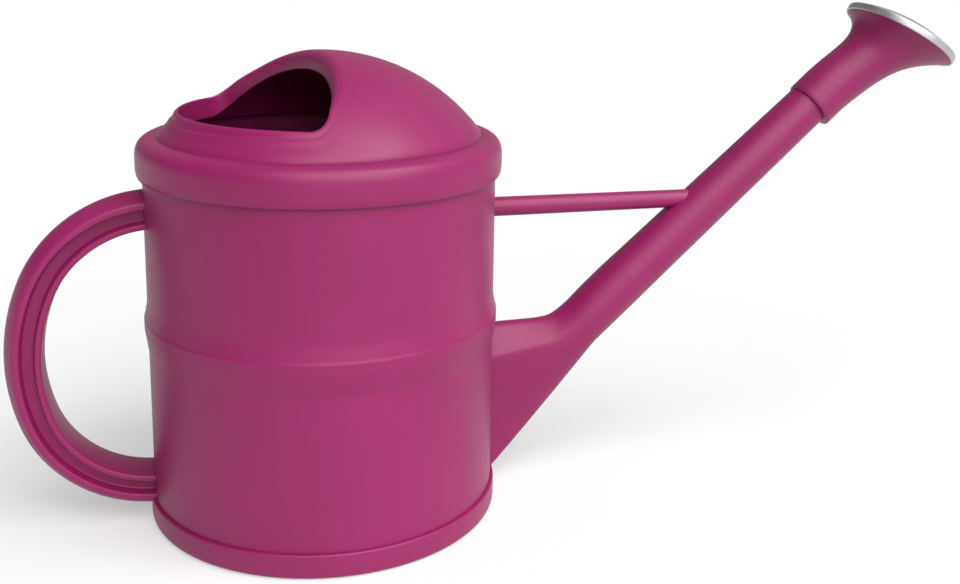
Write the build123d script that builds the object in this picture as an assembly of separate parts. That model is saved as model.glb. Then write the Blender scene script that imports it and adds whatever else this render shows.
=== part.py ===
from build123d import *
import os
from math import asin, cos, radians, sin, sqrt, tan

# A moulded plastic watering can. The origin is on the floor at the drum's axis, +X points
# towards the spout, the handle is on the -X side and +Z is up. All sizes are millimetres.

# Drum: the tank's round wall, with a rolled bead half way up
drum_radius = 115.0
drum_wall = 2.5
drum_top = 249.8
bead_radius = 117.3
bead_crease = 138.5
bead_belly = 132.0
bead_lower = 118.5
bead_flare_top = 149.5

# Base pan: the floor and the foot band that hold the drum's lower edge
band_radius = 117.3
band_top = 16.6
foot_width = 13.0
pad_radius = 9.0
floor_top = 6.0
floor_underside = 3.2
joint_gap = 0.1

# Hood: the domed cover that is pushed over the drum's rim and turned to suit the hand
hood_turn = 18.0
hood_collar_radius = 119.1
hood_collar_bottom = 232.6
hood_collar_round = 7.6
hood_shoulder_start = 246.2
hood_shoulder_peak = 258.2
hood_crease_radius = 106.0
hood_crease_top = 257.4
dome_radius = 131.2
dome_centre = 180.6
dome_foot_radius = 105.2
hood_wall = 2.4
hood_bore = drum_radius + 0.35
hood_ledge_inner = 112.4
seal_height = 1.2
opening_radius = 91.4
opening_front_radius = 128.0
opening_front = -7.0
opening_corner = 11.0
skirt_height = 12.5
skirt_wall = 2.2

# Handle: a C of three tangent arcs with an I-shaped section
handle_start_x = -112.4
handle_start_z = 224.0
handle_tilt = 3.0
handle_arcs = [(93.0, 64.0), (137.0, 41.0), (89.7, 72.0)]
handle_width = 30.5
handle_depth = 24.4
outer_crown = 6.4
outer_rim = 3.9
inner_crown = 1.2
inner_rim = 3.6
web_half_width = 8.0
web_corner = 0.9
handle_tail = 14.0

# Handle fixings, inside the drum wall
fixing_half_width = 22.0
fixing_half_height = 9.0
gasket_thickness = 1.0
plate_thickness = 2.0
web_depth = (outer_crown + outer_rim + handle_depth - inner_crown - inner_rim) / 2
screw_radius = 2.0
screw_spacing = 10.0
screw_length = 26.0
screw_head_radius = 3.6
screw_head_height = 2.4
screw_clearance = 0.05

# Spout: a boot on the drum and a slightly tapered tube
spout_angle = 41.8
spout_x = 190.0
spout_z = 118.4
spout_radius = 18.2
spout_taper = 0.0109
spout_wall = 2.2
spout_shoulder = 227.0
nozzle_radius = 13.0
nozzle_end = 242.0
cone_start = -34.0
boot_top = 119.0
boot_root_x = 100.0
boot_mid_x = 178.0
boot_tip_x = 214.0
boot_bottom_x = 121.6
boot_bottom_z = 12.8
boot_slope = 49.6
boot_wall = 2.6
boot_clearance = 2.0

# Strainer: a perforated cup over the spout's mouth inside the drum
strainer_radius = 27.0
strainer_wall = 1.6
strainer_face = 97.0
strainer_pitch = 6.0
strainer_hole = 1.7

# Brace: a round rod from the drum to the spout
brace_height = 202.0
brace_radius = 6.8
brace_end_x = 276.0
brace_screw_length = 24.0

# Rose: a sleeve on the spout's end that flares into a tilted horn
sleeve_start = 226.0
sleeve_step = 227.4
sleeve_end = 240.0
sleeve_radius = 18.8
sleeve_mouth = 15.9
sleeve_bore = 14.6
sleeve_drop = 1.6
horn_drop = 1.4
rim_x = 432.1
rim_z = 320.0
rim_angle = 60.0
rim_radius = 42.0
rim_land = 2.2
horn_swell = 1.9
horn_flare = 5.2
horn_turn = 1.24
horn_bend = 1.6
horn_wall = 2.0
rose_seal_start = 229.0
rose_seal_end = 241.0

# Rose plate: a domed metal disc of holes, folded over the horn's rim
plate_radius = 43.4
plate_lip = 2.6
plate_rise = 8.7
plate_metal = 0.9
rose_hole_radius = 1.0
rose_rings = 6
rose_ring_pitch = 6.0

drum_inner = drum_radius - drum_wall
hood_ledge = drum_top + seal_height
slope = radians(spout_angle)
mouth_height = spout_z + (drum_inner - spout_x) * tan(slope)


def flat_point(r, z):
    return (r, 0, z)


def straight(a, b):
    return Line(flat_point(*a), flat_point(*b))


def curved(a, middle, b):
    return ThreePointArc(flat_point(*a), flat_point(*middle), flat_point(*b))


def bent(a, corner, b):
    """A curve from a to b that leaves and arrives along the lines to the corner."""
    return Bezier(flat_point(*a), flat_point(*corner), flat_point(*b))


def lathe(edges):
    return revolve(Face(Wire(edges)), Axis.Z)


def lathe_points(points):
    loop = points + points[:1]
    return lathe([straight(a, b) for a, b in zip(loop[:-1], loop[1:])])


def upright(radius, low, high):
    return Pos(0, 0, low) * Cylinder(radius, high - low, align=(Align.CENTER, Align.CENTER, Align.MIN))


def along_x(radius, start, end, y, z):
    rod = Cylinder(radius, end - start, align=(Align.CENTER, Align.CENTER, Align.MIN))
    return Pos(start, y, z) * Rot(0, 90, 0) * rod


def spout_point(s, off=0.0):
    """The point s along the spout's axis, and off above it, square to the axis."""
    return (
        spout_x + s * cos(slope) - off * sin(slope),
        0,
        spout_z + s * sin(slope) + off * cos(slope),
    )


def spout_plane(s):
    return Plane(origin=spout_point(s), x_dir=(0, 1, 0), z_dir=(cos(slope), 0, sin(slope)))


def tube_radius(s):
    return spout_radius - spout_taper * s


def spout_cone(start, end, inset):
    """A length of the tapered tube's outside, made smaller by inset."""
    height = end - start
    cone = Cone(
        tube_radius(start) - inset,
        tube_radius(end) - inset,
        height,
        align=(Align.CENTER, Align.CENTER, Align.MIN),
    )
    return spout_plane(start) * cone


def spout_rod(radius, start, end):
    rod = Cylinder(radius, end - start, align=(Align.CENTER, Align.CENTER, Align.MIN))
    return spout_plane(start) * rod


def dome_height(r, inset=0.0):
    return dome_centre + sqrt((dome_radius - inset) ** 2 - r * r)


def make_base_pan():
    edge = 3.5
    inner = band_radius - foot_width
    band_inner = drum_radius + joint_gap
    top_round = band_radius - band_inner
    high = band_top - top_round
    outline = [
        straight((0, 0), (pad_radius, 0)),
        straight((pad_radius, 0), (pad_radius + 3, floor_underside)),
        straight((pad_radius + 3, floor_underside), (inner - 3, floor_underside)),
        straight((inner - 3, floor_underside), (inner, 0)),
        straight((inner, 0), (band_radius - edge, 0)),
        curved(
            (band_radius - edge, 0),
            (band_radius - edge + edge * sin(radians(45)), edge - edge * cos(radians(45))),
            (band_radius, edge),
        ),
        straight((band_radius, edge), (band_radius, high)),
        curved(
            (band_radius, high),
            (band_inner + top_round * cos(radians(45)), high + top_round * sin(radians(45))),
            (band_inner, band_top),
        ),
        straight((band_inner, band_top), (band_inner, floor_top)),
        straight((band_inner, floor_top), (0, floor_top)),
        straight((0, floor_top), (0, 0)),
    ]
    return lathe(outline)


def make_drum():
    bottom = floor_top
    flare_mid = ((bead_radius + drum_radius) / 2 - 0.45, (bead_flare_top + bead_crease) / 2 + 1.0)
    outline = [
        straight((drum_inner, bottom), (drum_radius, bottom)),
        straight((drum_radius, bottom), (drum_radius, bead_lower)),
        straight((drum_radius, bead_lower), (drum_radius + 0.4, bead_lower + 1.2)),
        straight((drum_radius + 0.4, bead_lower + 1.2), (bead_radius, bead_belly)),
        straight((bead_radius, bead_belly), (bead_radius, bead_crease)),
        curved((bead_radius, bead_crease), flare_mid, (drum_radius, bead_flare_top)),
        straight((drum_radius, bead_flare_top), (drum_radius, drum_top)),
        straight((drum_radius, drum_top), (drum_inner, drum_top)),
        straight((drum_inner, drum_top), (drum_inner, bottom)),
    ]
    drum = lathe(outline)
    mouth = along_x(strainer_radius - 4, drum_inner - 10, drum_radius + 5, 0, mouth_height)
    drum -= mouth & boot_block(boot_wall + 1.5)
    for height in handle_end_heights():
        for side in (-1, 1):
            y = side * screw_spacing / 2
            drum -= along_x(screw_radius + screw_clearance, -drum_radius - 5, -drum_inner + 8, y, height)
    drum -= along_x(screw_radius + screw_clearance, drum_inner - 5, drum_radius + 5, 0, brace_height)
    return drum


def opening_outline():
    """The filler opening seen from above: a round back and a flatter front."""
    back = Circle(opening_radius)
    front = Pos(opening_front - opening_front_radius, 0) * Circle(opening_front_radius)
    outline = back & front
    return fillet(outline.vertices(), opening_corner)


def make_hood():
    mid = dome_foot_radius * 0.5
    inner_foot = dome_foot_radius - 2.2
    inner_mid = inner_foot * 0.5
    inner_top = hood_crease_top - hood_wall
    round_top = hood_collar_bottom + hood_collar_round
    outline = [
        straight((hood_bore, hood_collar_bottom + 0.5), (hood_bore + 1.2, hood_collar_bottom)),
        bent(
            (hood_bore + 1.2, hood_collar_bottom),
            (hood_collar_radius, hood_collar_bottom),
            (hood_collar_radius, round_top),
        ),
        straight((hood_collar_radius, round_top), (hood_collar_radius, hood_shoulder_start)),
        bent(
            (hood_collar_radius, hood_shoulder_start),
            (hood_collar_radius, hood_shoulder_peak),
            (hood_crease_radius, hood_crease_top),
        ),
        straight((hood_crease_radius, hood_crease_top), (dome_foot_radius, dome_height(dome_foot_radius))),
        curved(
            (dome_foot_radius, dome_height(dome_foot_radius)),
            (mid, dome_height(mid)),
            (0, dome_height(0)),
        ),
        straight((0, dome_height(0)), (0, dome_height(0, hood_wall))),
        curved(
            (0, dome_height(0, hood_wall)),
            (inner_mid, dome_height(inner_mid, hood_wall)),
            (inner_foot, dome_height(inner_foot, hood_wall)),
        ),
        straight((inner_foot, dome_height(inner_foot, hood_wall)), (hood_crease_radius - 1.4, inner_top)),
        straight((hood_crease_radius - 1.4, inner_top), (hood_ledge_inner, inner_top - 2.6)),
        straight((hood_ledge_inner, inner_top - 2.6), (hood_ledge_inner, hood_ledge)),
        straight((hood_ledge_inner, hood_ledge), (hood_bore, hood_ledge)),
        straight((hood_bore, hood_ledge), (hood_bore, hood_collar_bottom + 0.5)),
    ]
    shell = lathe(outline)
    below = hood_collar_bottom
    height = dome_height(0) - below + 20
    outline_face = opening_outline()
    inside_face = offset(outline_face, -skirt_wall)
    column = Pos(0, 0, below) * extrude(outline_face, height)
    hole = Pos(0, 0, below) * extrude(inside_face, height)
    ball = Pos(0, 0, dome_centre) * Sphere(dome_radius)
    lower_ball = Pos(0, 0, dome_centre - skirt_height) * Sphere(dome_radius)
    skirt = (column - hole) & ball
    skirt -= lower_ball
    hood = (shell - column) + skirt
    return Rot(0, 0, hood_turn) * hood


def make_hood_seal():
    inner = drum_inner + 0.2
    outer = drum_radius - 0.2
    return lathe_points([(inner, drum_top), (outer, drum_top), (outer, hood_ledge), (inner, hood_ledge)])


def handle_path(depth):
    """The handle's run of three arcs, depth below its outer face, with a tail into each end."""
    heading = radians(180 + handle_tilt)
    x = handle_start_x - sin(heading) * depth
    z = handle_start_z + cos(heading) * depth
    edges = [
        Line(
            flat_point(x - handle_tail * cos(heading), z - handle_tail * sin(heading)),
            flat_point(x, z),
        )
    ]
    for outer_radius, turn in handle_arcs:
        radius = outer_radius - depth
        centre_x = x - radius * sin(heading)
        centre_z = z + radius * cos(heading)
        points = []
        for part in (0, 0.5, 1):
            angle = heading + radians(turn) * part
            points.append(flat_point(centre_x + radius * sin(angle), centre_z - radius * cos(angle)))
        edges.append(ThreePointArc(*points))
        heading += radians(turn)
        x, _, z = points[-1]
    edges.append(
        Line(
            flat_point(x, z),
            flat_point(x + handle_tail * cos(heading), z + handle_tail * sin(heading)),
        )
    )
    return Wire(edges)


def handle_end_heights():
    """The heights of the web's middle where the two ends of the handle meet the drum."""
    path = handle_path(web_depth)
    return (path @ 0).Z, (path @ 1).Z


def handle_section():
    half = handle_width / 2
    middle = handle_depth / 2
    groove_top = outer_crown + outer_rim
    groove_bottom = handle_depth - inner_crown - inner_rim
    rows = [
        (half, outer_crown),
        (half, groove_top),
        (web_half_width, groove_top + web_corner),
        (web_half_width, groove_bottom - web_corner),
        (half, groove_bottom),
        (half, handle_depth - inner_crown),
    ]
    right = [(y, depth - middle) for y, depth in rows]
    left = [(-y, depth) for y, depth in reversed(right)]
    outline = [Polyline(*right), Polyline(*left)]
    outline.append(ThreePointArc(right[-1], (0, middle), left[0]))
    outline.append(ThreePointArc(left[-1], (0, -middle), right[0]))
    return make_face(outline)


def make_handle():
    path = handle_path(handle_depth / 2)
    start = path @ 0
    heading = path % 0
    plane = Plane(origin=start, x_dir=(0, 1, 0), z_dir=heading)
    handle = sweep(plane * handle_section(), path=path)
    handle -= upright(drum_radius + joint_gap, -50, 300)
    handle -= upright(band_radius + joint_gap, -50, band_top + joint_gap)
    for height in handle_end_heights():
        for side in (-1, 1):
            y = side * screw_spacing / 2
            handle -= along_x(screw_radius + screw_clearance, -drum_radius - 18, -drum_radius + 5, y, height)
    return largest(handle)


def largest(shape):
    return sorted(shape.solids(), key=lambda solid: solid.volume)[-1]


def curved_pad(outer, inner, height, half_width, half_height):
    """A pad bent to the inside of the drum on the handle's side."""
    ring = upright(outer, height - half_height, height + half_height)
    ring -= upright(inner, height - half_height - 1, height + half_height + 1)
    block = Pos(-drum_radius, 0, height) * Box(2 * drum_radius, 2 * half_width, 2 * half_height + 2)
    pad = ring & block
    for side in (-1, 1):
        y = side * screw_spacing / 2
        pad -= along_x(screw_radius + screw_clearance, -outer - 5, -inner + 10, y, height)
    return pad


def make_gasket(height):
    outer = drum_inner
    return curved_pad(outer, outer - gasket_thickness, height, fixing_half_width + 1, fixing_half_height + 1)


def make_plate(height):
    outer = drum_inner - gasket_thickness
    return curved_pad(outer, outer - plate_thickness, height, fixing_half_width, fixing_half_height)


def screw_along_x(head_x, direction, y, z, length):
    """A pan-head screw whose head's underside is at head_x and whose shank runs in direction."""
    shank_end = head_x + direction * length
    head_end = head_x - direction * screw_head_height
    low, high = sorted((head_x, shank_end))
    shank = along_x(screw_radius, low, high, y, z)
    low, high = sorted((head_x, head_end))
    head = along_x(screw_head_radius, low, high, y, z)
    slot_x = head_end + direction * 0.5
    slot = Pos(slot_x, y, z) * Box(1.0, 0.9, 2 * screw_head_radius + 1)
    return shank + head - slot


def make_handle_screws():
    face = drum_inner - gasket_thickness - plate_thickness
    head_x = -sqrt(face**2 - (screw_spacing / 2 + screw_head_radius) ** 2) + 0.05
    screws = []
    for height in handle_end_heights():
        for side in (-1, 1):
            screws.append(screw_along_x(head_x, -1, side * screw_spacing / 2, height, screw_length - 5))
    return Compound(children=[Solid(screw.solids()[0].wrapped) for screw in screws])


def boot_floor(x):
    return boot_bottom_z + (x - boot_bottom_x) * tan(radians(boot_slope))


def teardrop(x, top, top_radius, bottom, bottom_radius, inset):
    """An upright outline at x: a wide round top, straight flanks and a narrower round bottom."""
    high = top - top_radius
    low = bottom + bottom_radius
    big = top_radius - inset
    small = bottom_radius - inset
    lean = asin((big - small) / (high - low))
    corners = []
    for centre, radius in ((high, big), (low, small)):
        corners.append((radius * cos(lean), centre - radius * sin(lean)))
    (wide, wide_z), (narrow, narrow_z) = corners
    edges = [
        ThreePointArc((x, wide, wide_z), (x, 0, high + big), (x, -wide, wide_z)),
        Line((x, -wide, wide_z), (x, -narrow, narrow_z)),
        ThreePointArc((x, -narrow, narrow_z), (x, 0, low - small), (x, narrow, narrow_z)),
        Line((x, narrow, narrow_z), (x, wide, wide_z)),
    ]
    return Face(Wire(edges))


def boot_block(inset):
    tip_centre = spout_z + (boot_tip_x - spout_x) * tan(slope)
    sections = [
        teardrop(boot_root_x, boot_top, 20.0, boot_floor(boot_root_x), 8.0, inset),
        teardrop(boot_mid_x, boot_top, 18.6, boot_floor(boot_mid_x), 15.0, inset),
        teardrop(boot_tip_x, tip_centre + 15, 13.0, tip_centre - 22.5, 10.0, inset),
    ]
    return loft(sections, ruled=True)


def make_spout():
    body = spout_cone(cone_start, spout_shoulder, 0) + boot_block(0)
    body += spout_rod(nozzle_radius, spout_shoulder - 4, nozzle_end)
    body -= boot_block(boot_wall)
    body -= spout_cone(cone_start, spout_shoulder - 4, spout_wall)
    body -= spout_rod(nozzle_radius - spout_wall, spout_shoulder - 5, nozzle_end + 1)
    body -= upright(drum_radius + joint_gap, -60, 300)
    body -= lathe_points(
        [
            (0, bead_lower - 1),
            (drum_radius + 0.7, bead_lower - 1),
            (bead_radius + joint_gap, bead_crease),
            (0, bead_crease),
        ]
    )
    body -= upright(band_radius + joint_gap, -60, band_top + joint_gap)
    body -= Box(800, 200, 2 * boot_clearance)
    return largest(body)


def make_strainer():
    cup = along_x(strainer_radius, strainer_face, drum_inner + 5, 0, mouth_height)
    inside = strainer_face + strainer_wall
    cup -= along_x(strainer_radius - strainer_wall, inside, drum_inner + 6, 0, mouth_height)
    reach = strainer_radius - 6
    count = int(reach // strainer_pitch)
    for row in range(-count, count + 1):
        for column in range(-count, count + 1):
            y = row * strainer_pitch
            z = column * strainer_pitch
            if y * y + z * z <= reach * reach:
                cup -= along_x(strainer_hole, strainer_face - 1, strainer_face + 3, y, mouth_height + z)
    return cup & upright(drum_inner, 10, 200)


def make_brace():
    brace = along_x(brace_radius, drum_radius - 5, brace_end_x, 0, brace_height)
    brace -= upright(drum_radius + joint_gap, 150, 250)
    brace -= spout_cone(20, 200, -joint_gap / 2)
    brace -= along_x(
        screw_radius + screw_clearance, drum_radius - 5, drum_inner + brace_screw_length, 0, brace_height
    )
    return largest(brace)


def make_brace_screw():
    head_x = sqrt(drum_inner**2 - screw_head_radius**2) - 0.05
    return screw_along_x(head_x, 1, 0, brace_height, brace_screw_length - 2)


def horn_station(t):
    """Centre, tilt and outer radius of the horn, from the sleeve at t = 0 to the rim at t = 1."""
    start_x, _, start_z = spout_point(sleeve_end, -horn_drop)
    rim = radians(rim_angle)
    reach_x = rim_x - rim_land * cos(rim) - start_x
    reach_z = rim_z - rim_land * sin(rim) - start_z
    along = (reach_x * cos(slope) + reach_z * sin(slope)) * t
    sink = (reach_x * sin(slope) - reach_z * cos(slope)) * t**horn_bend
    x, _, z = spout_point(sleeve_end + along, -horn_drop - sink)
    tilt = spout_angle + (rim_angle - spout_angle) * t**horn_turn
    widest = rim_radius - sleeve_radius - horn_swell
    radius = sleeve_radius + horn_swell * t + widest * t**horn_flare
    return x, z, tilt, radius


def ring_face(x, z, tilt, radius):
    angle = radians(tilt)
    plane = Plane(origin=(x, 0, z), x_dir=(0, 1, 0), z_dir=(cos(angle), 0, sin(angle)))
    return plane * Circle(radius)


def horn_block(inset):
    sections = []
    for t in (0, 0.25, 0.5, 0.7, 0.85, 0.94, 1.0):
        x, z, tilt, radius = horn_station(t)
        sections.append(ring_face(x, z, tilt, radius - inset))
    land = Cylinder(rim_radius - inset, rim_land, align=(Align.CENTER, Align.CENTER, Align.MAX))
    return loft(sections) + rim_plane() * land


def sleeve_block():
    start_x, _, start_z = spout_point(sleeve_start, -sleeve_drop)
    x, z, tilt, radius = horn_station(0)
    return loft([ring_face(start_x, start_z, spout_angle, sleeve_radius), ring_face(x, z, tilt, radius)])


def make_rose_body():
    body = sleeve_block() + horn_block(0)
    body -= horn_block(horn_wall)
    body -= spout_rod(sleeve_mouth, sleeve_start - 3, sleeve_step)
    body -= spout_rod(sleeve_bore, sleeve_start - 3, sleeve_end + 3)
    return largest(body)


def make_rose_seal():
    ring = spout_rod(sleeve_bore - 0.05, rose_seal_start, rose_seal_end)
    return ring - spout_rod(nozzle_radius + 0.05, rose_seal_start - 1, rose_seal_end + 1)


def rim_plane():
    angle = radians(rim_angle)
    return Plane(origin=(rim_x, 0, rim_z), x_dir=(0, 1, 0), z_dir=(cos(angle), 0, sin(angle)))


def make_rose_plate():
    crown = plate_lip + plate_rise
    half = plate_radius * 0.55
    sphere = (plate_radius**2 + plate_rise**2) / (2 * plate_rise)
    middle = plate_lip + plate_rise - sphere + sqrt(sphere**2 - half**2)
    gap = joint_gap
    outline = [
        straight((rim_radius + gap, -rim_land), (plate_radius - 0.4, -rim_land)),
        straight((plate_radius - 0.4, -rim_land), (plate_radius, 0.4 - rim_land)),
        straight((plate_radius, 0.4 - rim_land), (plate_radius, plate_lip)),
        curved((plate_radius, plate_lip), (half, middle), (0, crown)),
        straight((0, crown), (0, crown - plate_metal)),
        curved(
            (0, crown - plate_metal),
            (half, middle - plate_metal),
            (plate_radius - plate_metal, plate_lip - plate_metal),
        ),
        straight((plate_radius - plate_metal, plate_lip - plate_metal), (rim_radius - 1.6, gap)),
        straight((rim_radius - 1.6, gap), (rim_radius + gap, gap)),
        straight((rim_radius + gap, gap), (rim_radius + gap, -rim_land)),
    ]
    disc = lathe(outline)
    holes = [Cylinder(rose_hole_radius, 40)]
    for ring in range(1, rose_rings):
        count = 6 * ring
        for step in range(count):
            turn = 360 * step / count + 13 * ring
            holes.append(Rot(0, 0, turn) * Pos(ring * rose_ring_pitch, 0, 0) * Cylinder(rose_hole_radius, 40))
    disc -= holes
    return rim_plane() * disc


def build():
    upper, lower = handle_end_heights()
    return {
        "drum": make_drum(),
        "base_pan": make_base_pan(),
        "hood": make_hood(),
        "hood_seal": make_hood_seal(),
        "handle": make_handle(),
        "handle_plate_upper": make_plate(upper),
        "handle_plate_lower": make_plate(lower),
        "handle_gasket_upper": make_gasket(upper),
        "handle_gasket_lower": make_gasket(lower),
        "handle_screws": make_handle_screws(),
        "spout": make_spout(),
        "strainer": make_strainer(),
        "brace": make_brace(),
        "brace_screw": make_brace_screw(),
        "rose_body": make_rose_body(),
        "rose_plate": make_rose_plate(),
        "rose_seal": make_rose_seal(),
    }


os.makedirs("parts", exist_ok=True)
for name, shape in build().items():
    export_step(shape, f"parts/{name}.step")
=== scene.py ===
from math import ceil, cos, exp, pi, radians, sin, sqrt, tan

import bpy
from mathutils import Matrix, Vector


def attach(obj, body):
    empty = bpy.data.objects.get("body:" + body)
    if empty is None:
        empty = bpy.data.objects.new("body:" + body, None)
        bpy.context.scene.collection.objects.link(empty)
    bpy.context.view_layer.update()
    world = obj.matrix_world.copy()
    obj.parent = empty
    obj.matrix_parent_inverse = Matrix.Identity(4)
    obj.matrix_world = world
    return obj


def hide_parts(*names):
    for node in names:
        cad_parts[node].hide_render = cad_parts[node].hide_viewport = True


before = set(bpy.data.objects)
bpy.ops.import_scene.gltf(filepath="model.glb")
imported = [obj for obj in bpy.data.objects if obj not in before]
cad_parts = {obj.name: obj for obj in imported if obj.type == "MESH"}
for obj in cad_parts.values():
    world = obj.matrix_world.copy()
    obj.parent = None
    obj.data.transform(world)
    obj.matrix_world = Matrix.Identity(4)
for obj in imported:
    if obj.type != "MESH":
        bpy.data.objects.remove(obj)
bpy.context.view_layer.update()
scene = bpy.context.scene

# Sizes are in millimetres in the part's frame, and become metres when a mesh is made.
MM = 0.001

# Drum and base pan
drum_radius = 115.0
drum_inner = 112.5
drum_foot = 6.0
drum_top = 249.8
bead_radius = 117.3
bead_lower = 118.5
bead_belly = 132.0
bead_crease = 138.5
bead_flare_top = 149.5
band_radius = 117.3
band_top = 16.6
pad_radius = 9.0
band_gap = 0.1
foot_inner = 104.3
floor_underside = 3.2
floor_top = 6.0

# Hood
hood_turn = 18.0
collar_bottom = 232.6
collar_round = 7.6
collar_radius = 119.08
collar_shoulder = 246.2
collar_peak = 258.2
collar_bore = 115.35
crease_radius = 106.0
crease_height = 257.4
dome_radius = 131.2
dome_centre = 180.6
dome_foot = 105.2
hood_wall = 2.4
ledge_height = 251.0
ledge_inner = 112.4
opening_back = 91.4
opening_front_radius = 128.0
opening_front = -7.0
opening_corner = 13.0
opening_pole = -50.0
flange_depth = 12.5
flange_wall = 2.2
lip_small = 2.8
lip_large = 9.0
lip_bead = 1.1
bead_reach = 1.3
bead_width = 1.6
lip_groove = 1.1
groove_reach = 4.4
groove_width = 1.3
neck_sink = 1.5
neck_reach = 9.0
neck_width = 3.6
flange_extra = 3.2
foot_blend = 1.5

# Handle
handle_start = (-112.4, 224.0)
handle_tilt = 3.0
handle_arcs = [(93.0, 64.0), (137.0, 41.0), (89.7, 72.0)]
handle_width = 30.5
handle_depth = 24.4
outer_crown = 6.4
outer_rim = 3.9
inner_crown = 1.2
inner_rim = 3.6
web_half = 8.0
handle_ease = 0.05

# Spout
spout_angle = radians(41.8)
spout_origin = (190.0, 118.4)
spout_radius = 18.2
spout_taper = 0.0109
boot_root = 110.0
boot_rings = 44
boot_end = 60.0
boot_top_line = [
    (boot_root, 117.4),
    (128.0, 117.8),
    (146.0, 118.1),
    (155.4, 118.7),
    (162.9, 120.2),
    (170.4, 124.5),
    (177.8, 130.4),
    (185.3, 137.6),
]
boot_bottom_line = [
    (boot_root, -0.8),
    (121.7, 12.8),
    (135.0, 28.4),
    (149.9, 46.0),
    (164.8, 63.5),
    (179.7, 81.0),
    (187.0, 89.4),
]
ridge_half = 18.0
ridge_drop = 25.0
tube_ridge = 5.0
foot_half = 7.0
boot_blend = 0.7
spout_shoulder = 227.0
spout_wall = 2.2
nozzle_radius = 13.0
nozzle_end = 242.0

# Brace
brace_height = 202.0
brace_root_radius = 6.8
brace_tip_radius = 6.4
brace_tip = 268.0

# Rose
sleeve_start = 226.0
sleeve_step = 227.4
sleeve_end = 240.0
sleeve_radius = 18.8
sleeve_mouth = 15.9
sleeve_bore = 14.6
sleeve_drop = 1.6
horn_drop = 1.4
rim_centre = (432.1, 320.0)
rim_angle = 60.0
rim_radius = 42.0
rim_land = 2.2
horn_swell = 1.9
horn_flare = 5.2
horn_turn = 1.24
horn_bend = 1.6
horn_wall = 2.0
plate_radius = 43.38
plate_lip = 2.6
plate_rise = 8.7
plate_metal = 0.9
rose_hole = 1.0
rose_rings = 6
rose_pitch = 6.0

around = 288


# ---------------------------------------------------------------- mesh tools


def soften(corners, closed=True, step=0.25):
    """An outline with its corners rounded. Each corner is (a, b, radius)."""
    count = len(corners)
    outline = []
    for index, (a, b, radius) in enumerate(corners):
        here = Vector((a, b))
        end = not closed and index in (0, count - 1)
        if radius <= 0 or end:
            outline.append(here)
            continue
        before = Vector(corners[index - 1][:2]) - here
        after = Vector(corners[(index + 1) % count][:2]) - here
        half = before.angle(after) / 2
        reach = min(radius / tan(half), 0.49 * before.length, 0.49 * after.length)
        true_radius = reach * tan(half)
        start = here + before.normalized() * reach
        finish = here + after.normalized() * reach
        centre = here + (before.normalized() + after.normalized()).normalized() * true_radius / sin(half)
        sweep = pi - 2 * half
        parts = max(2, ceil(sweep / step))
        first = start - centre
        turn = (finish - centre).angle_signed(first) if sweep > 1e-6 else 0
        for part in range(parts + 1):
            angle = turn * part / parts
            spun = Vector(
                (
                    first.x * cos(angle) - first.y * sin(angle),
                    first.x * sin(angle) + first.y * cos(angle),
                )
            )
            outline.append(centre + spun)
    return outline


def stretch(points, longest):
    """The same run of points with long gaps divided evenly."""
    filled = [points[0]]
    for before, after in zip(points[:-1], points[1:]):
        parts = max(1, ceil((after - before).length / longest))
        for part in range(1, parts + 1):
            filled.append(before.lerp(after, part / parts))
    return filled


def resample(points, count):
    """A closed outline as count points, evenly spaced along it."""
    loop = points + points[:1]
    lengths = [0.0]
    for before, after in zip(loop[:-1], loop[1:]):
        lengths.append(lengths[-1] + (after - before).length)
    even = []
    place = 0
    for index in range(count):
        target = lengths[-1] * index / count
        while lengths[place + 1] < target:
            place += 1
        span = lengths[place + 1] - lengths[place]
        share = (target - lengths[place]) / span if span > 1e-9 else 0
        even.append(loop[place].lerp(loop[place + 1], share))
    return even


def skin(rings, loop=False, caps=()):
    """Points and faces of a skin over rings of points. loop joins the last ring to the first."""
    size = len(rings[0])
    points = [point for ring in rings for point in ring]
    faces = []
    last = len(rings) if loop else len(rings) - 1
    for row in range(last):
        here = row * size
        above = ((row + 1) % len(rings)) * size
        for column in range(size):
            beside = (column + 1) % size
            faces.append((here + column, here + beside, above + beside, above + column))
    for cap in caps:
        ring = rings[cap]
        start = 0 if cap == 0 else (len(rings) - 1) * size
        middle = len(points)
        points.append(sum(ring, Vector()) / size)
        for column in range(size):
            beside = (column + 1) % size
            if cap == 0:
                faces.append((start + beside, start + column, middle))
            else:
                faces.append((start + column, start + beside, middle))
    return points, faces


def ring_about_z(radius, height, count=around):
    return [
        Vector((radius * cos(2 * pi * step / count), radius * sin(2 * pi * step / count), height))
        for step in range(count)
    ]


def make_mesh(name, points, faces, sharp=38):
    mesh = bpy.data.meshes.new(name)
    mesh.from_pydata([point * MM for point in points], [], faces)
    mesh.validate()
    mesh.polygons.foreach_set("use_smooth", [True] * len(mesh.polygons))
    mesh.set_sharp_from_angle(angle=radians(sharp))
    piece = bpy.data.objects.new(name, mesh)
    scene.collection.objects.link(piece)
    return piece


def outward(piece):
    """Turns all faces of a closed mesh outwards."""
    bpy.context.view_layer.objects.active = piece
    bpy.ops.object.select_all(action="DESELECT")
    piece.select_set(True)
    bpy.ops.object.mode_set(mode="EDIT")
    bpy.ops.mesh.select_all(action="SELECT")
    bpy.ops.mesh.normals_make_consistent(inside=False)
    bpy.ops.object.mode_set(mode="OBJECT")


def place(piece, body, slot, material, *nodes):
    outward(piece)
    piece.data.materials.clear()
    piece.data.materials.append(material)
    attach(piece, body)
    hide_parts(*nodes)
    return piece


def lathe(name, profile, longest=6.0):
    run = stretch(profile + profile[:1], longest)[:-1]
    return make_mesh(name, *skin([ring_about_z(point.x, point.y) for point in run], loop=True))


# ---------------------------------------------------------------- materials


def node(tree, kind, **values):
    made = tree.nodes.new(kind)
    for key, value in values.items():
        if key in made.inputs:
            made.inputs[key].default_value = value
        else:
            setattr(made, key, value)
    return made


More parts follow.
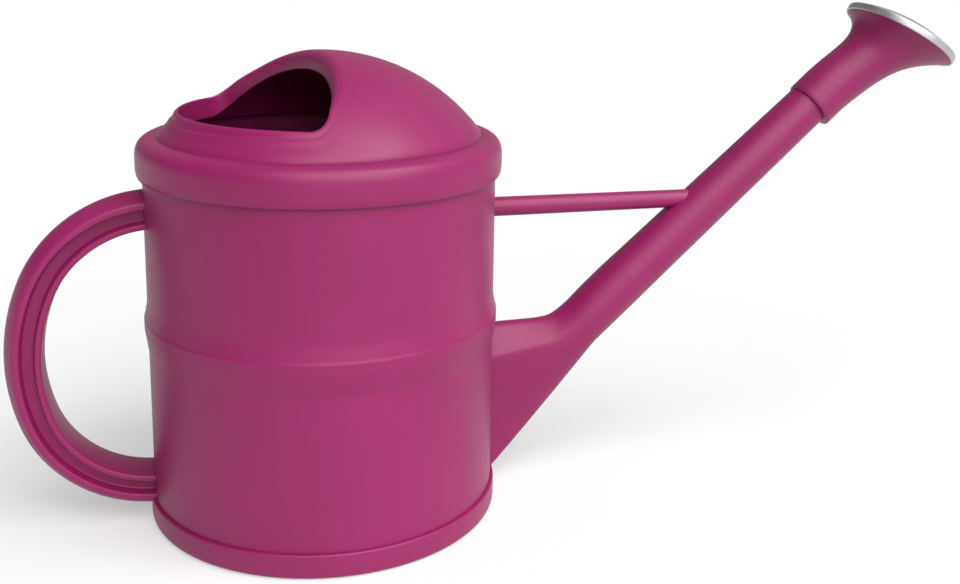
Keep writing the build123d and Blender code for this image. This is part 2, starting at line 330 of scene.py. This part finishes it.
def noise(tree, scale, detail=4.0, roughness=0.5):
    coordinates = tree.nodes.get("Object position")
    if coordinates is None:
        coordinates = node(tree, "ShaderNodeTexCoord", name="Object position")
    made = node(tree, "ShaderNodeTexNoise", Scale=scale, Detail=detail, Roughness=roughness)
    tree.links.new(coordinates.outputs["Object"], made.inputs["Vector"])
    return made


def ranged(tree, source, low, high, start=0.3, end=0.7):
    made = node(tree, "ShaderNodeMapRange")
    made.inputs["From Min"].default_value = start
    made.inputs["From Max"].default_value = end
    made.inputs["To Min"].default_value = low
    made.inputs["To Max"].default_value = high
    tree.links.new(source, made.inputs["Value"])
    return made.outputs["Result"]


def new_material(name):
    material = bpy.data.materials.new(name)
    material.use_nodes = True
    return material, material.node_tree, material.node_tree.nodes["Principled BSDF"]


def blended_colour(tree, shader, source, first, second):
    mix = node(tree, "ShaderNodeMix", data_type="RGBA")
    mix.inputs["A"].default_value = (*first, 1)
    mix.inputs["B"].default_value = (*second, 1)
    tree.links.new(source, mix.inputs["Factor"])
    tree.links.new(mix.outputs["Result"], shader.inputs["Base Color"])


def bumps(tree, shader, layers):
    """Bump layers, each (height, strength, distance in millimetres), laid one on another."""
    normal = None
    for height, strength, distance in layers:
        bump = node(tree, "ShaderNodeBump", Strength=strength, Distance=distance * MM)
        tree.links.new(height, bump.inputs["Height"])
        if normal:
            tree.links.new(normal, bump.inputs["Normal"])
        normal = bump.outputs["Normal"]
    tree.links.new(normal, shader.inputs["Normal"])


def magenta_plastic():
    material, tree, shader = new_material("magenta_plastic")
    cloud = noise(tree, 14, 3)
    grain = noise(tree, 900, 3)
    ripple = noise(tree, 22, 2)
    blended_colour(
        tree,
        shader,
        ranged(tree, cloud.outputs["Fac"], 0, 1),
        (0.205, 0.0062, 0.074),
        (0.228, 0.0074, 0.083),
    )
    tree.links.new(ranged(tree, grain.outputs["Fac"], 0.40, 0.50), shader.inputs["Roughness"])
    bumps(tree, shader, [(ripple.outputs["Fac"], 0.35, 0.6), (grain.outputs["Fac"], 0.25, 0.12)])
    shader.inputs["IOR"].default_value = 1.42
    shader.inputs["Sheen Weight"].default_value = 0.01
    shader.inputs["Sheen Roughness"].default_value = 0.4
    return material


def rose_metal():
    material, tree, shader = new_material("rose_metal")
    cloud = noise(tree, 60, 4)
    grain = noise(tree, 1400, 3)
    blended_colour(
        tree, shader, ranged(tree, cloud.outputs["Fac"], 0, 1), (0.44, 0.42, 0.44), (0.54, 0.52, 0.54)
    )
    tree.links.new(ranged(tree, cloud.outputs["Fac"], 0.40, 0.50), shader.inputs["Roughness"])
    bumps(tree, shader, [(cloud.outputs["Fac"], 0.3, 0.3), (grain.outputs["Fac"], 0.2, 0.05)])
    shader.inputs["Metallic"].default_value = 1.0
    return material


def black_rubber():
    material, tree, shader = new_material("black_rubber")
    grain = noise(tree, 1200, 4)
    blended_colour(
        tree, shader, ranged(tree, grain.outputs["Fac"], 0, 1), (0.018, 0.018, 0.019), (0.032, 0.032, 0.034)
    )
    tree.links.new(ranged(tree, grain.outputs["Fac"], 0.62, 0.8), shader.inputs["Roughness"])
    bumps(tree, shader, [(grain.outputs["Fac"], 0.4, 0.1)])
    return material


def magenta_rubber():
    material, tree, shader = new_material("magenta_rubber")
    grain = noise(tree, 1200, 4)
    blended_colour(
        tree, shader, ranged(tree, grain.outputs["Fac"], 0, 1), (0.13, 0.006, 0.045), (0.17, 0.009, 0.06)
    )
    tree.links.new(ranged(tree, grain.outputs["Fac"], 0.6, 0.75), shader.inputs["Roughness"])
    bumps(tree, shader, [(grain.outputs["Fac"], 0.4, 0.1)])
    return material


def plain_steel():
    material, tree, shader = new_material("plain_steel")
    grain = noise(tree, 800, 4)
    blended_colour(
        tree, shader, ranged(tree, grain.outputs["Fac"], 0, 1), (0.48, 0.48, 0.5), (0.6, 0.6, 0.61)
    )
    tree.links.new(ranged(tree, grain.outputs["Fac"], 0.28, 0.42), shader.inputs["Roughness"])
    bumps(tree, shader, [(grain.outputs["Fac"], 0.2, 0.05)])
    shader.inputs["Metallic"].default_value = 1.0
    return material


# ---------------------------------------------------------------- drum and base


def make_drum(material):
    profile = soften(
        [
            (drum_inner, drum_foot, 0.4),
            (drum_radius, drum_foot, 0.4),
            (drum_radius, bead_lower, 0.6),
            (drum_radius + 0.5, bead_lower + 1.0, 0.6),
            (bead_radius, bead_belly, 12.0),
            (bead_radius, bead_crease, 0.8),
            (bead_radius - 0.7, bead_crease + 1.8, 2.0),
            (drum_radius, bead_flare_top, 14.0),
            (drum_radius, drum_top, 0.9),
            (drum_inner, drum_top, 0.9),
        ]
    )
    return place(lathe("drum_shell", profile), "can", "magenta_plastic", material, "drum")


def make_base_pan(material):
    band_inner = drum_radius + band_gap
    profile = soften(
        [
            (0.5, 0, 0),
            (pad_radius, 0, 0.8),
            (pad_radius + 3, floor_underside, 1.5),
            (foot_inner - 3, floor_underside, 2.0),
            (foot_inner, 0, 1.0),
            (band_radius, 0, 3.8),
            (band_radius, band_top, 2.0),
            (band_inner, band_top, 0.1),
            (band_inner, floor_top, 0),
            (0.5, floor_top, 0),
        ]
    )
    run = stretch(profile, 6.0)
    rings = [ring_about_z(point.x, point.y) for point in run]
    piece = make_mesh("base_shell", *skin(rings, caps=(0, -1)))
    return place(piece, "can", "magenta_plastic", material, "base_pan")


# ---------------------------------------------------------------- hood


def dome_height(r, inset=0.0):
    return dome_centre + sqrt((dome_radius - inset) ** 2 - r * r)


def circle_reach(centre_x, radius, direction):
    """How far from the opening's pole a ray goes before it meets a circle seen from above."""
    offset = Vector((opening_pole - centre_x, 0))
    along = offset.dot(direction)
    return -along + sqrt(along * along - offset.length_squared + radius * radius)


def opening_reach(direction):
    back = circle_reach(0.0, opening_back, direction)
    front = circle_reach(opening_front - opening_front_radius, opening_front_radius, direction)
    share = min(max(0.5 + 0.5 * (front - back) / opening_corner, 0.0), 1.0)
    return front + (back - front) * share - opening_corner * share * (1 - share)


def bend(start, corner, finish, parts):
    """Points after start on a curve that leaves and arrives along the lines to the corner."""
    run = []
    for part in range(1, parts + 1):
        t = part / parts
        run.append((1 - t) ** 2 * start + 2 * t * (1 - t) * corner + t * t * finish)
    return run


def collar_outside(firm):
    """The collar from its lower edge up to the crease, as (r, z). A firm crease is cut in deeper."""
    low = Vector((collar_bore + 1.4, collar_bottom))
    side = Vector((collar_radius, collar_bottom + collar_round))
    shoulder = Vector((collar_radius, collar_shoulder))
    crease = Vector((crease_radius + 0.3, crease_height))
    run = [Vector((collar_bore + 0.6, collar_bottom)), low]
    run += bend(low, Vector((collar_radius, collar_bottom)), side, 10)
    run += stretch([side, shoulder], 2.0)[1:]
    run += bend(shoulder, Vector((collar_radius, collar_peak)), crease, 18)
    run.append(Vector((crease_radius - 0.2, crease_height - 0.5 * firm)))
    run.append(Vector((dome_foot + 0.15, crease_height - 0.2 * firm)))
    return run


def collar_inside():
    """The collar's inside, from the dome's foot down to its lower edge, as (r, z)."""
    return soften(
        [
            (ledge_inner - 7, crease_height - 2.6, 0),
            (ledge_inner - 3, crease_height - 3.4, 2.0),
            (ledge_inner, ledge_height + 2.0, 1.0),
            (ledge_inner, ledge_height, 0.3),
            (collar_bore, ledge_height, 0.3),
            (collar_bore, collar_bottom + 0.6, 0.5),
            (collar_bore + 0.6, collar_bottom, 0),
        ],
        closed=False,
    )


def lip_height(reach):
    """How far the bead, its groove and the neck lift or sink the dome, reach from the opening."""
    bead = lip_bead * exp(-(((reach - bead_reach) / bead_width) ** 2))
    groove = lip_groove * exp(-(((reach - groove_reach) / groove_width) ** 2))
    neck = neck_sink * exp(-(((reach - neck_reach) / neck_width) ** 2))
    return bead - groove - neck


def hood_ray(angle):
    """The hood's closed section on one ray from the opening's pole."""
    foot = Vector((dome_foot * cos(angle), dome_foot * sin(angle)))
    pole = Vector((opening_pole, 0))
    direction = (foot - pole).normalized()
    edge = pole + direction * opening_reach(direction)
    # the lip is tight along the rim and soft on the front edge, where the dome is high
    rise = min(max((edge.x + 45.0) / 30.0, 0.0), 1.0)
    front = min(max((edge.x + 32.0) / 14.0, 0.0), 1.0)
    lip = lip_small + (lip_large - lip_small) * front * front * (3 - 2 * front)
    low_side = min(max((-32.0 - edge.x) / 30.0, 0.0), 1.0)
    section = []
    for point in collar_outside(rise):
        section.append(Vector((point.x * cos(angle), point.x * sin(angle), point.y)))
    start = edge + direction * lip
    for part in range(37):
        spot = foot.lerp(start, 1 - (1 - part / 36) ** 2)
        change = lip_height((spot - edge).length) - foot_blend * exp(-(spot - foot).length / 2.0)
        section.append(Vector((spot.x, spot.y, dome_height(spot.length) + change * low_side)))
    corner = Vector((edge.x, edge.y, dome_height(edge.length) + lip_height(0) * low_side))
    drop = min(lip, flange_depth - 3.0)
    depth = flange_depth + flange_extra * (1 - rise)
    low = corner - Vector((0, 0, drop))
    section += bend(section[-1], corner, low, 10)
    foot_height = corner.z - depth
    inner = edge + direction * flange_wall
    section.append(Vector((edge.x, edge.y, (low.z + foot_height) / 2)))
    section.append(Vector((edge.x, edge.y, foot_height + 0.7)))
    bottom = edge + direction * 0.7
    section.append(Vector((bottom.x, bottom.y, foot_height)))
    bottom = edge + direction * (flange_wall - 0.7)
    section.append(Vector((bottom.x, bottom.y, foot_height)))
    section.append(Vector((inner.x, inner.y, foot_height + 0.7)))
    under = dome_height(inner.length, hood_wall)
    section.append(Vector((inner.x, inner.y, under - 2.0)))
    inner_foot = foot * ((dome_foot - 2.2) / dome_foot)
    for part in range(1, 15):
        spot = inner.lerp(inner_foot, part / 14)
        section.append(Vector((spot.x, spot.y, dome_height(spot.length, hood_wall))))
    for point in collar_inside():
        section.append(Vector((point.x * cos(angle), point.x * sin(angle), point.y)))
    return section


def make_hood(material):
    turn = radians(hood_turn)
    rays = [hood_ray(2 * pi * step / around) for step in range(around)]
    rings = [[ray[row] for ray in rays] for row in range(len(rays[0]))]
    points, faces = skin(rings, loop=True)
    points = [Matrix.Rotation(turn, 3, "Z") @ point for point in points]
    return place(make_mesh("hood_shell", points, faces), "hood", "magenta_plastic", material, "hood")


# ---------------------------------------------------------------- handle


def handle_section():
    """The handle's I-shaped outline, as (y, depth below the outer crown's line)."""
    half = handle_width / 2
    groove_top = outer_crown + outer_rim
    groove_bottom = handle_depth - inner_crown - inner_rim
    right = [
        (half, outer_crown, 2.6),
        (half, groove_top, 0.9),
        (web_half, groove_top + 0.9, 1.1),
        (web_half, groove_bottom - 0.9, 1.1),
        (half, groove_bottom, 0.9),
        (half, handle_depth - inner_crown, 1.2),
    ]
    left = [(-y, depth, radius) for y, depth, radius in reversed(right)]
    crown = []
    for step in range(-4, 5):
        share = step / 5
        crown.append((half * share, handle_ease + outer_crown * share * share, 0))
    back = []
    for share in (0.8, 0.4, 0, -0.4, -0.8):
        back.append((half * share, handle_depth - inner_crown * share * share, 0))
    outline = soften(right + back + left + crown)
    return stretch(outline + outline[:1], 2.0)[:-1]


def handle_stations():
    """Where the handle's outer face runs, as (x, z, heading) from the top end to the bottom end."""
    heading = radians(180 + handle_tilt)
    x, z = handle_start
    stations = [(x, z, heading)]
    for radius, turn in handle_arcs:
        centre_x = x - radius * sin(heading)
        centre_z = z + radius * cos(heading)
        parts = ceil(turn / 2)
        for part in range(1, parts + 1):
            angle = heading + radians(turn) * part / parts
            stations.append((centre_x + radius * sin(angle), centre_z - radius * cos(angle), angle))
        x, z, heading = stations[-1]
    return stations


def wall_radius(z):
    return band_radius + 0.05 if z < band_top + 0.2 else drum_radius + 0.05


def onto_wall(point, heading):
    """Slides a point of the handle's end along its heading until it meets the drum's wall."""
    reach = sqrt(wall_radius(point.z) ** 2 - point.y**2)
    slide = (-reach - point.x) / cos(heading)
    return Vector((-reach, point.y, point.z + slide * sin(heading)))


def make_handle(material):
    section = handle_section()
    rings = []
    stations = handle_stations()
    for x, z, heading in stations:
        down = Vector((-sin(heading), 0, cos(heading)))
        rings.append([Vector((x, y, z)) + down * depth for y, depth in section])
    first, last = stations[0][2], stations[-1][2]
    rings[0] = [onto_wall(point, first) for point in rings[0]]
    rings[-1] = [onto_wall(point, last) for point in rings[-1]]
    piece = make_mesh("handle_grip", *skin(rings, caps=(0, -1)))
    return place(piece, "can", "magenta_plastic", material, "handle")


# ---------------------------------------------------------------- spout


def spout_point(s, off=0.0):
    """The point s along the spout's axis and off above it."""
    return Vector(
        (
            spout_origin[0] + s * cos(spout_angle) - off * sin(spout_angle),
            0,
            spout_origin[1] + s * sin(spout_angle) + off * cos(spout_angle),
        )
    )


def tube_radius(s):
    return spout_radius - spout_taper * s


def smooth_curve(points, count):
    """count points spaced evenly along a smooth curve through the given ones."""
    dense = []
    padded = [2 * points[0] - points[1], *points, 2 * points[-1] - points[-2]]
    for a, b, c, d in zip(padded[:-3], padded[1:-2], padded[2:-1], padded[3:]):
        for part in range(24):
            t = part / 24
            dense.append(
                0.5
                * (
                    2 * b
                    + (c - a) * t
                    + (2 * a - 5 * b + 4 * c - d) * t * t
                    + (3 * b - a - 3 * c + d) * t**3
                )
            )
    dense.append(points[-1])
    lengths = [0.0]
    for before, after in zip(dense[:-1], dense[1:]):
        lengths.append(lengths[-1] + (after - before).length)
    even = []
    spot = 0
    for index in range(count):
        target = lengths[-1] * index / (count - 1)
        while spot < len(dense) - 2 and lengths[spot + 1] < target:
            spot += 1
        share = (target - lengths[spot]) / (lengths[spot + 1] - lengths[spot])
        even.append(dense[spot].lerp(dense[spot + 1], min(max(share, 0), 1)))
    return even


def boot_outline(height, share, inset, count=96):
    """The boot's outline, as (y, height above its lowest point): a gable with soft edges near the
    drum that becomes the tube's circle where share is 1."""
    drop = ridge_drop + (tube_ridge - ridge_drop) * share
    half = ridge_half + (spout_radius - ridge_half) * share
    foot = foot_half + (spout_radius - foot_half) * share
    near = [(half, height - drop, 4), (foot, 0, 6)]
    far = [(-y, z, radius) for y, z, radius in reversed(near)]
    gable = soften([(0, height, 8), *near, *far])
    tall = max(point.y for point in gable)
    gable = [Vector((point.x, point.y * height / tall)) for point in gable]
    start = max(range(len(gable)), key=lambda index: (round(gable[index].y, 3), -abs(gable[index].x)))
    gable = resample(gable[start:] + gable[:start], count)
    radius = height / 2
    blend = min(share / boot_blend, 1.0)
    blend = blend * blend * (3 - 2 * blend)
    shrink = 1 - 2 * inset / height
    outline = []
    for index, point in enumerate(gable):
        angle = pi / 2 - 2 * pi * index / count
        circle = Vector((min(radius, spout_radius) * cos(angle), radius + radius * sin(angle)))
        mixed = point.lerp(circle, blend)
        width = abs(mixed.x)
        if width > 0.01:
            mixed.x *= max(width - inset, 0) / width
        outline.append(Vector((mixed.x, mixed.y * shrink)))
    return outline


def boot_sections(inset):
    """Rings from the drum to a place on the tube, inset from the outside."""
    top = [Vector((x, 0, z)) for x, z in boot_top_line]
    bottom = [Vector((x, 0, z)) for x, z in boot_bottom_line]
    for s in (30.0, 45.0, boot_end):
        top.append(spout_point(s, tube_radius(s)))
    for s in (-11.0, 0.0, 12.0, 28.0, 44.0, boot_end):
        bottom.append(spout_point(s, -tube_radius(s)))
    upper = smooth_curve(top, boot_rings)
    lower = smooth_curve(bottom, boot_rings)
    rings = []
    for index, (high, low) in enumerate(zip(upper, lower)):
        share = index / (boot_rings - 1)
        height = (high - low).length
        rise = (high - low).normalized()
        outline = boot_outline(height, share, inset)
        base = low + rise * inset
        rings.append([base + rise * point.y + Vector((0, point.x, 0)) for point in outline])
    return rings


def tube_ring(s, radius, count=96):
    centre = spout_point(s)
    up = Vector((-sin(spout_angle), 0, cos(spout_angle)))
    ring = []
    for step in range(count):
        angle = pi / 2 - 2 * pi * step / count
        ring.append(centre + up * radius * sin(angle) + Vector((0, radius * cos(angle), 0)))
    return ring


def onto_drum(point):
    return Vector((sqrt((drum_radius - 0.2) ** 2 - point.y**2), point.y, point.z))


def trim_root(rings):
    """Starts the boot at the drum's wall and keeps it off the floor."""
    kept = [ring for ring in rings if min(point.x for point in ring) > drum_radius + 1]
    first = kept[0]
    before = rings[len(rings) - len(kept) - 1]
    root = []
    for outer, inner in zip(first, before):
        slope_z = (outer.z - inner.z) / max(outer.x - inner.x, 1e-6)
        landed = onto_drum(outer)
        root.append(Vector((landed.x, landed.y, outer.z + slope_z * (landed.x - outer.x))))
    return [root, *kept]


def make_spout(material):
    outer = trim_root(boot_sections(0.0))
    for step in range(1, 29):
        s = boot_end + (spout_shoulder - boot_end) * step / 28
        outer.append(tube_ring(s, tube_radius(s)))
    edge = tube_radius(spout_shoulder)
    outer.append(tube_ring(spout_shoulder + 0.2, edge - 0.3))
    outer.append(tube_ring(spout_shoulder + 0.2, nozzle_radius + 0.4))
    outer.append(tube_ring(spout_shoulder + 0.8, nozzle_radius))
    outer.append(tube_ring(nozzle_end - 0.8, nozzle_radius))
    outer.append(tube_ring(nozzle_end, nozzle_radius - 0.7))
    outer.append(tube_ring(nozzle_end, nozzle_radius - spout_wall + 0.3))
    outer.append(tube_ring(nozzle_end - 0.4, nozzle_radius - spout_wall))
    outer.append(tube_ring(spout_shoulder - 4, nozzle_radius - spout_wall))
    inner = trim_root(boot_sections(spout_wall + 0.2))
    for step in range(1, 12):
        s = boot_end + (spout_shoulder - 5 - boot_end) * step / 12
        inner.append(tube_ring(s, tube_radius(s) - spout_wall))
    rings = outer + list(reversed(inner))
    piece = make_mesh("spout_tube", *skin(rings, loop=True))
    return place(piece, "can", "magenta_plastic", material, "spout")


# ---------------------------------------------------------------- brace


def make_brace(material):
    rings = []
    count = 64
    start = drum_radius - 0.5
    for step in range(33):
        share = step / 32
        x = start + (brace_tip - start) * share
        radius = brace_root_radius + (brace_tip_radius - brace_root_radius) * share
        ring = []
        for spoke in range(count):
            angle = 2 * pi * spoke / count
            ring.append(Vector((x, radius * cos(angle), brace_height + radius * sin(angle))))
        rings.append(ring)
    piece = make_mesh("brace_rod", *skin(rings, caps=(0, -1)))
    return place(piece, "can", "magenta_plastic", material, "brace")


# ---------------------------------------------------------------- rose


def tilted_ring(x, z, tilt, radius, count=160):
    up = Vector((-sin(tilt), 0, cos(tilt)))
    ring = []
    for step in range(count):
        angle = pi / 2 - 2 * pi * step / count
        ring.append(Vector((x, radius * cos(angle), z)) + up * radius * sin(angle))
    return ring


def horn_ring(t, inset):
    start = spout_point(sleeve_end, -horn_drop)
    rim = radians(rim_angle)
    reach_x = rim_centre[0] - rim_land * cos(rim) - start.x
    reach_z = rim_centre[1] - rim_land * sin(rim) - start.z
    along = (reach_x * cos(spout_angle) + reach_z * sin(spout_angle)) * t
    sink = (reach_x * sin(spout_angle) - reach_z * cos(spout_angle)) * t**horn_bend
    centre = spout_point(sleeve_end + along, -horn_drop - sink)
    tilt = spout_angle + (rim - spout_angle) * t**horn_turn
    widest = rim_radius - sleeve_radius - horn_swell
    radius = sleeve_radius + horn_swell * t + widest * t**horn_flare
    return tilted_ring(centre.x, centre.z, tilt, radius - inset)


def sleeve_ring(s, radius, drop):
    centre = spout_point(s, -drop)
    return tilted_ring(centre.x, centre.z, spout_angle, radius)


def make_rose_body(material):
    rings = [
        sleeve_ring(sleeve_start, sleeve_mouth, 0),
        sleeve_ring(sleeve_start, sleeve_radius - 0.9, sleeve_drop),
        sleeve_ring(sleeve_start + 0.25, sleeve_radius - 0.3, sleeve_drop),
        sleeve_ring(sleeve_start + 0.9, sleeve_radius, sleeve_drop),
    ]
    for share in (0.25, 0.5, 0.75):
        s = sleeve_start + (sleeve_end - sleeve_start) * share
        rings.append(sleeve_ring(s, sleeve_radius, sleeve_drop + (horn_drop - sleeve_drop) * share))
    for step in range(49):
        rings.append(horn_ring(step / 48, 0.0))
    rim = radians(rim_angle)
    for lower, inset in ((0.6, 0.0), (0.0, 0.5), (0.0, horn_wall - 0.4), (0.5, horn_wall)):
        x, z = rim_centre[0] - lower * cos(rim), rim_centre[1] - lower * sin(rim)
        rings.append(tilted_ring(x, z, rim, rim_radius - inset))
    for step in range(25):
        rings.append(horn_ring(1 - step / 24 * 0.96, horn_wall))
    rings.append(sleeve_ring(sleeve_end + 2.0, sleeve_bore, 0))
    rings.append(sleeve_ring(sleeve_step, sleeve_bore, 0))
    rings.append(sleeve_ring(sleeve_step, sleeve_mouth, 0))
    piece = make_mesh("rose_horn", *skin(rings, loop=True), sharp=50)
    return place(piece, "rose", "magenta_plastic", material, "rose_body")


def rose_frame():
    """Turns a shape made about Z into the rose's rim plane."""
    tilt = radians(rim_angle)
    axis = Vector((cos(tilt), 0, sin(tilt)))
    across = Vector((0, 1, 0))
    third = axis.cross(across)
    turn = Matrix((across, third, axis)).transposed().to_4x4()
    return Matrix.Translation(Vector((rim_centre[0], 0, rim_centre[1])) * MM) @ turn


def make_rose_plate(material):
    sphere = (plate_radius**2 + plate_rise**2) / (2 * plate_rise)
    base = plate_lip + plate_rise - sphere
    outside = []
    for part in range(31):
        r = 0.5 + (plate_radius - 1.6 - 0.5) * part / 30
        outside.append(Vector((r, base + sqrt(sphere**2 - r * r))))
    inside = [Vector((point.x, point.y - plate_metal)) for point in reversed(outside)]
    rim = soften(
        [
            (plate_radius - 1.6, outside[-1].y, 0),
            (plate_radius, plate_lip + 0.2, 1.6),
            (plate_radius, -rim_land, 0.6),
            (rim_radius + 0.1, -rim_land, 0.3),
            (rim_radius + 0.1, 0.15, 0.2),
            (rim_radius - 1.6, 0.15, 0.2),
            (inside[0].x, inside[0].y, 0),
        ],
        closed=False,
    )
    rings = [ring_about_z(point.x, point.y, 192) for point in [*outside, *rim[1:-1], *inside]]
    plate = make_mesh("rose_disc", *skin(rings, caps=(0, -1)), sharp=50)
    points = []
    faces = []
    for ring in range(rose_rings):
        count = max(1, 6 * ring)
        for step in range(count):
            turn = 2 * pi * step / count + radians(13 * ring)
            x, y = ring * rose_pitch * cos(turn), ring * rose_pitch * sin(turn)
            low, high = ring_about_z(rose_hole, -20, 20), ring_about_z(rose_hole, 30, 20)
            shift = Vector((x, y, 0))
            pin = skin([[point + shift for point in low], [point + shift for point in high]], caps=(0, -1))
            first = len(points)
            points.extend(pin[0])
            faces.extend(tuple(first + corner for corner in face) for face in pin[1])
    pins = make_mesh("rose_pins", points, faces)
    outward(plate)
    outward(pins)
    cut = plate.modifiers.new("holes", "BOOLEAN")
    cut.operation = "DIFFERENCE"
    cut.object = pins
    cut.solver = "EXACT"
    bpy.context.view_layer.update()
    evaluated = plate.evaluated_get(bpy.context.evaluated_depsgraph_get())
    holed = bpy.data.meshes.new_from_object(evaluated)
    plate.modifiers.clear()
    plate.data = holed
    bpy.data.objects.remove(pins)
    plate.data.transform(rose_frame())
    plate.data.set_sharp_from_angle(angle=radians(50))
    return place(plate, "rose", "rose_metal", material, "rose_plate")


# ---------------------------------------------------------------- stage


def make_stage():
    material, tree, shader = new_material("pale_floor")
    cloud = noise(tree, 3, 2)
    blended_colour(
        tree, shader, ranged(tree, cloud.outputs["Fac"], 0, 1), (0.42, 0.42, 0.42), (0.44, 0.44, 0.44)
    )
    shader.inputs["Roughness"].default_value = 0.9
    shader.inputs["Specular IOR Level"].default_value = 0.1
    shader.inputs["Emission Color"].default_value = (1.0, 1.0, 1.0, 1)
    shader.inputs["Emission Strength"].default_value = 0.38
    mesh = bpy.data.meshes.new("floor")
    wide = 30.0
    corners = [(-wide, -wide, 0), (wide, -wide, 0), (wide, wide, 0), (-wide, wide, 0)]
    mesh.from_pydata(corners, [], [(0, 1, 2, 3)])
    mesh.materials.append(material)
    floor = bpy.data.objects.new("floor", mesh)
    scene.collection.objects.link(floor)


def make_world():
    world = bpy.data.worlds.new("studio")
    scene.world = world
    world.use_nodes = True
    tree = world.node_tree
    background = tree.nodes["Background"]
    background.inputs["Color"].default_value = (1.0, 1.0, 1.0, 1)
    direction = node(tree, "ShaderNodeTexCoord")
    split = node(tree, "ShaderNodeSeparateXYZ")
    tree.links.new(direction.outputs["Generated"], split.inputs["Vector"])
    strength = ranged(tree, split.outputs["X"], 0.2, 0.5, -0.7, 0.7)
    tree.links.new(strength, background.inputs["Strength"])


def soft_light(name, turn, rise, strength, spread):
    """A wide far light, turn degrees from -Y towards +X and rise degrees above the floor."""
    turn, rise = radians(turn), radians(rise)
    data = bpy.data.lights.new(name, "SUN")
    data.energy = strength
    data.angle = radians(spread)
    light = bpy.data.objects.new(name, data)
    towards = Vector((sin(turn) * cos(rise), -cos(turn) * cos(rise), sin(rise)))
    light.location = towards * 3
    light.rotation_euler = towards.to_track_quat("Z", "Y").to_euler()
    scene.collection.objects.link(light)


def make_lights():
    soft_light("key", 16, 44, 4.25, 70)
    soft_light("side", 67, 54, 0.7, 16)


view_azimuth = radians(-16.5)
view_elevation = radians(12.17)
view_roll = radians(1.258)
view_distance = 842.7
view_target = Vector((130.7, 0.0, 216.9))
view_focal = 1208.3
view_centre = (510.6, 185.0)
picture_size = (960, 584)
sensor = 36.0


def make_camera():
    back = Vector(
        (
            sin(view_azimuth) * cos(view_elevation),
            -cos(view_azimuth) * cos(view_elevation),
            sin(view_elevation),
        )
    )
    right = Vector((cos(view_azimuth), sin(view_azimuth), 0))
    up = back.cross(right)
    tilted_right = right * cos(view_roll) + up * sin(view_roll)
    tilted_up = up * cos(view_roll) - right * sin(view_roll)
    data = bpy.data.cameras.new("camera")
    data.sensor_width = sensor
    data.lens = sensor * view_focal / picture_size[0]
    data.shift_x = (picture_size[0] / 2 - view_centre[0]) / picture_size[0]
    data.shift_y = (view_centre[1] - picture_size[1] / 2) / picture_size[0]
    data.clip_end = 100
    camera = bpy.data.objects.new("camera", data)
    turn = Matrix((tilted_right, tilted_up, back)).transposed().to_4x4()
    camera.matrix_world = Matrix.Translation((view_target + back * view_distance) * MM) @ turn
    scene.collection.objects.link(camera)
    scene.camera = camera


# ---------------------------------------------------------------- the scene

plastic = magenta_plastic()
metal = rose_metal()
rubber = black_rubber()
steel = plain_steel()

make_drum(plastic)
make_base_pan(plastic)
make_hood(plastic)
make_handle(plastic)
make_spout(plastic)
make_brace(plastic)
make_rose_body(plastic)
make_rose_plate(metal)

kept_nodes = {
    "hood_seal": magenta_rubber(),
    "rose_seal": rubber,
    "handle_gasket_upper": rubber,
    "handle_gasket_lower": rubber,
    "handle_plate_upper": steel,
    "handle_plate_lower": steel,
    "handle_screws": steel,
    "brace_screw": steel,
    "strainer": plastic,
}
for name, finish in kept_nodes.items():
    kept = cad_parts[name]
    kept.data.materials.clear()
    kept.data.materials.append(finish)

make_stage()
make_world()
make_lights()
make_camera()
scene.view_settings.view_transform = "Standard"
